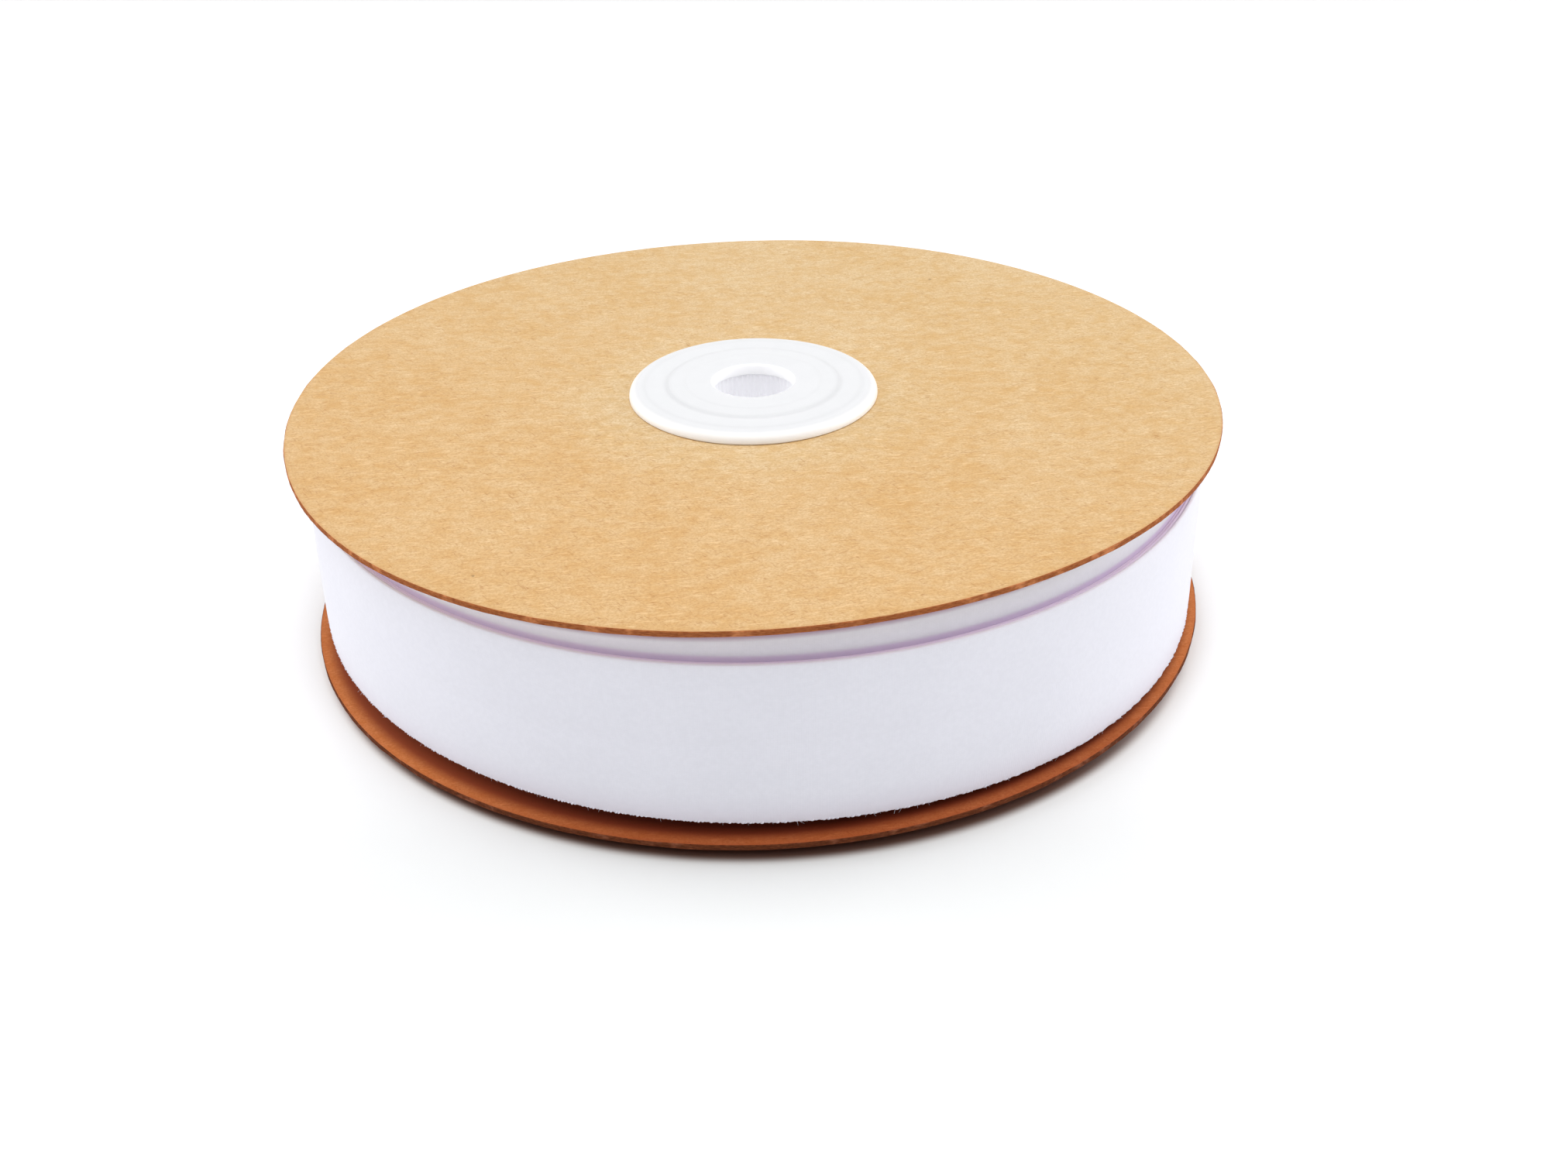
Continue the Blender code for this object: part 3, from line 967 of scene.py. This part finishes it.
def weave_mask(start, place, x, y, z):
    """Crossed threads, as a value from 0 to 1, that waver a little."""
    along = start.math("ARCTAN2", y, x) * (CARD_RADIUS - 2.0 * MM)
    waver = start.noise(place, 900.0, 2.0) * (0.5 * THREAD_PITCH)
    turn = 2.0 * math.pi / THREAD_PITCH / math.sqrt(2.0)
    first = start.math("SINE", (along + z + waver) * turn)
    second = start.math("SINE", (along - z + waver) * turn)
    return first * second * 0.5 + 0.5


print("threads lie", round(THREAD_PITCH / MM, 2), "mm apart")

# %% [markdown]
# Folded white cloth gets soft violet painted shade: along the last turns' top edge, and close under the card.
# In the strip between the two, a faint glow of painted light makes it a little brighter, most at the left.
# Both follow from two heights, over that edge and over the card's bent underside.

# %% Heights on the roll
# The card's bend over the strip, as a share of its bend at the rim
LIFT_IN_STRIP = 0.88


def roll_heights(start, x, y, z):
    """Height over the last turns' top edge, in metres, height over the top card's underside, in
    millimetres, and how far a place lies to the right, from -1 to 1."""
    over_edge = z - start.math("MINIMUM", y, 0.0) * (FRONT_DIP / OUTER_RADIUS) - (LAST_BASE + TAPE_WIDTH)
    strip_radius = OUTER_RADIUS - 2.0 * MM
    c, s = x / strip_radius, y / strip_radius
    even, tilt_x, tilt_y, two_lobes, three_lobes = (b / MM for b in TOP_BEND)
    lift = even + tilt_x * c + tilt_y * s + 2.0 * two_lobes * (s * c)
    lift = lift + three_lobes * (4.0 * c * c * c - 3.0 * c)
    under_card = z / MM - TOP_CARD_Z / MM - lift * LIFT_IN_STRIP
    return over_edge, under_card, c


print("the last turns' top edge lies at", round((LAST_BASE + TAPE_WIDTH) / MM, 2), "mm")

# %% [markdown]
# The outermost turn and the turns behind it get a finish each. The painted shade of the same edge tints both,
# but from two sides: the outer turn's face ends at it, and the turns behind start to show above it.

# %% Cloth finish
# Tints of painted shade at the top edge, under the card and at the foot, and a glow of painted light in the
# strip
LEDGE_SHADE_TINT = (0.94, 0.81, 0.96)
BROW_SHADE_TINT = (0.97, 0.93, 0.975)
PAINTED_GLOW_TINT = (1.0, 0.94, 1.0)
PAINTED_GLOW_STRENGTH = 0.12
SHADE_TINT = (0.60, 0.43, 0.54)
FOOT_SHADE_TINT = (0.94, 0.90, 0.93)
CLOTH_COLORS = ((0.857, 0.855, 0.925), (0.803, 0.801, 0.870))


def cloth_finish(name, pale, deep, inside):
    """Bias-cut cloth, with painted shade along the top edge, under the card and at the foot, and a glow of
    painted light in the strip. inside is true for the turns behind the outer one, whose edges get painted
    shade where they lie behind it.
    """
    material, start, shader = finish(name, {
        "Roughness": 0.92, "Specular IOR Level": 0.15, "Sheen Weight": 0.2, "Sheen Roughness": 0.5,
        "Emission Strength": PAINTED_GLOW_STRENGTH})
    place = start.place()
    x, y, z = (start.axis(place, key) for key in "XYZ")
    weave = weave_mask(start, place, x, y, z)
    slub = start.noise(place, 1400.0, 2.0, 0.6).step(0.3, 0.75)
    soil = start.noise(place, 60.0, 2.0).step(0.3, 0.7)
    color = (weave * 0.35 + slub * 0.4 + soil * 0.25).mix(deep, pale)

    over_edge, under_card, rightward = roll_heights(start, x, y, z)
    # Painted shade along the last turns' top edge
    if inside:
        edge_shade, edge_shade_tint = 1.0 - over_edge.step(-0.1 * MM, 0.6 * MM), LEDGE_SHADE_TINT
        in_strip = over_edge.step(-0.4 * MM, 0.2 * MM) * 0.5 + 0.5
    else:
        edge_shade, edge_shade_tint = over_edge.step(-0.35 * MM, 0.05 * MM), BROW_SHADE_TINT
        in_strip = over_edge.step(-0.1 * MM, 0.1 * MM)
    color = edge_shade.mix(color, tinted(pale, edge_shade_tint))
    # Painted shade close under the card
    color = under_card.step(-2.8, -1.9).mix(color, tinted(deep, SHADE_TINT))
    # Painted shade on the lowest few millimetres of the tape, near the lower card
    foot_shade = 1.0 - z.step(LAST_BASE, LAST_BASE + 5.0 * MM)
    color = (foot_shade * 0.5).mix(color, tinted(deep, FOOT_SHADE_TINT))
    feed(color, shader, "Base Color")

    # Painted light: the strip between the top edge and the card glows faintly, most at the left
    in_strip = in_strip * (1.0 - under_card.step(-3.0, -2.1))
    painted_glow = in_strip * (0.25 + 0.75 * (1.0 - rightward.step(-0.6, 0.2)) - 0.25 * rightward.step(0.2, 0.6))
    feed(painted_glow.mix((0.0, 0.0, 0.0), PAINTED_GLOW_TINT), shader, "Emission Color")
    raise_surface(weave * 0.6 + slub * 0.4, shader, 0.35, 0.05 * MM)
    return material


outer_cloth = cloth_finish("bias_cloth", *CLOTH_COLORS, inside=False)
inner_cloth = cloth_finish("bias_cloth_behind", *CLOTH_COLORS, inside=True)
inner_tape.data.materials.append(inner_cloth)
outer_tape.data.materials.append(outer_cloth)
outer_tape.data.materials.append(inner_cloth)
for piece in fold_pieces:
    piece.data.materials.append(outer_cloth)
faces_per_turn = FINE_STEPS * 2 * len(folded_path(True))
faces = outer_tape.data.polygons
behind = np.arange(len(faces)) < len(faces) - 2 - faces_per_turn
faces.foreach_set("material_index", behind.astype(np.int32))
print("cloth finishes made:", int(behind.sum()), "faces lie behind the outer turn")

# %% [markdown]
# ## Floor and light
# The photograph is a plain product shot on white, so bright that the floor has almost no edge. A wide pale
# floor gives the same. Its colour carries painted shadow: a little darker in front of the spool, and brown in
# the slot under the lower card's front, which shows only what the card throws back at it.

# %% Floor
FLOOR_SIZE = 6.0
FLOOR_COLOR = (0.92, 0.925, 0.925)
# Painted shadows: greyer in front of the spool, brown in the slot under the lower card's front
FRONT_SHADOW_COLOR = (0.745, 0.76, 0.755)
SLOT_SHADOW_COLOR = (0.22, 0.13, 0.10)
FRONT_Y = (-85.0 * MM, -35.0 * MM)
FRONT_REACH = (70.0 * MM, 150.0 * MM)
SLOT_Y = (-58.0 * MM, -20.0 * MM)
SLOT_IN = (45.0 * MM, 60.0 * MM)
SLOT_OUT = (68.8 * MM, 70.8 * MM)


def make_floor():
    """A wide floor with painted shadows, whose colour changes between the two places of each pair above."""
    bpy.ops.mesh.primitive_plane_add(size=FLOOR_SIZE, location=(0.0, 0.0, 0.0))
    floor = bpy.context.object
    floor.name = "pale_floor"
    material, start, shader = finish("pale_floor", {"Roughness": 0.9, "Specular IOR Level": 0.1})
    place = start.place()
    y = start.axis(place, "Y")
    reach = start.from_axis(place)
    front_shadow = (1.0 - y.step(*FRONT_Y)) * (1.0 - reach.step(*FRONT_REACH))
    color = front_shadow.mix(FLOOR_COLOR, FRONT_SHADOW_COLOR)
    slot_shadow = reach.step(*SLOT_IN) * (1.0 - reach.step(*SLOT_OUT)) * (1.0 - y.step(*SLOT_Y))
    feed(slot_shadow.mix(color, SLOT_SHADOW_COLOR), shader, "Base Color")
    floor.data.materials.append(material)
    return floor


floor = make_floor()
print("floor", FLOOR_SIZE, "m wide")

# %% [markdown]
# Four large soft lamps give even light from above, a little more from each side and from behind, and a faint
# shadow where the spool stands. The surrounding light is a ramp by height: pale at the horizon, so that the
# floor has no edge, dimmer above it, so that the sides keep some shape, and bright overhead.

# %% Lamps and surround
OBJECT_CENTRE = (0.0, 0.0, 0.02)


def soft_lamp(name, place, size, power):
    """A rectangular lamp, aimed at the middle of the spool."""
    data = bpy.data.lights.new(name, "AREA")
    data.shape = "RECTANGLE"
    data.size, data.size_y = size
    data.energy = power
    lamp = bpy.data.objects.new(name, data)
    bpy.context.scene.collection.objects.link(lamp)
    toward = Vector(OBJECT_CENTRE) - Vector(place)
    lamp.matrix_world = Matrix.Translation(place) @ toward.to_track_quat("-Z", "Y").to_matrix().to_4x4()
    return lamp


soft_lamp("overhead_light", (0.0, -0.2, 0.88), (1.2, 1.2), 8.2)
soft_lamp("left_light", (-0.85, 0.22, 0.42), (0.7, 0.6), 4.3)
soft_lamp("right_light", (0.85, 0.20, 0.42), (0.7, 0.6), 4.5)
soft_lamp("back_light", (0.0, 1.3, 0.35), (2.0, 0.6), 1.8)

# Heights in the direction looked in, from the horizon to overhead, with a colour for each
SURROUND = ((0.0, (0.80, 0.80, 0.81)), (0.16, (0.70, 0.70, 0.71)),
            (0.36, (0.42, 0.42, 0.44)), (0.8, (1.0, 1.0, 1.02)))
SURROUND_STRENGTH = 0.42
world = bpy.data.worlds.new("soft_surround")
world.use_nodes = True
sky = Shade(world.node_tree)
direction = sky.node("ShaderNodeTexCoord", out="Generated")
height = sky.axis(direction, "Z")
around = sky.node("ShaderNodeValToRGB", {"stops": SURROUND}, {0: height})
background = world.node_tree.nodes["Background"]
world.node_tree.links.new(around.socket, background.inputs["Color"])
background.inputs["Strength"].default_value = SURROUND_STRENGTH
bpy.context.scene.world = world
bpy.context.scene.view_settings.view_transform = "Standard"
print("four lamps and a soft surround")
